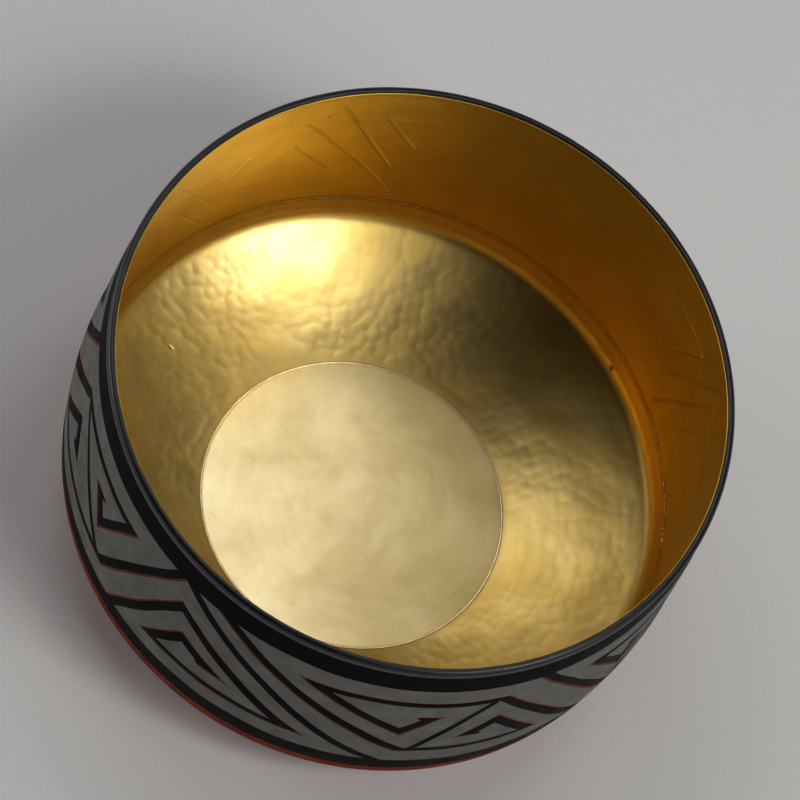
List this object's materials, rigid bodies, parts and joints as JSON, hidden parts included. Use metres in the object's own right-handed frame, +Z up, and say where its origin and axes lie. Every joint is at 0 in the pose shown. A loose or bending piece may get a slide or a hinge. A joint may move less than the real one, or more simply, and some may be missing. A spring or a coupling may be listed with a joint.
{
  "type": "bowl",
  "caption": "Thin-walled brass bowl with upright sides, a shallow hammered bottom and a black and stone-coloured fret border round the outside.",
  "frame": {"origin": "centre of the bowl's underside, on the surface it stands on", "axes": "+Z up along the bowl's axis towards its mouth, -Y towards the single upright hooked triangle of the border"},
  "size_m": [0.155, 0.155, 0.084],
  "materials": {
    "brass": "brushed and lightly patinated",
    "solder": "rough bead",
    "black_coat": "satin",
    "stone_coat": "matt",
    "red_coat": "satin"
  },
  "bodies": {
    "root": {"rim_ring": "black_coat", "wall_band": "brass", "seam_bead": "solder", "hammered_dish": "brass", "floor_disc": "brass", "under_coat": "red_coat", "black_fretwork": "black_coat", "fret_field_01": "stone_coat", "fret_field_02": "stone_coat", "fret_field_03": "stone_coat", "fret_field_04": "stone_coat", "fret_field_05": "stone_coat", "fret_field_06": "stone_coat", "fret_field_07": "stone_coat", "fret_field_08": "stone_coat", "fret_field_09": "stone_coat"}
  },
  "joints": []
}
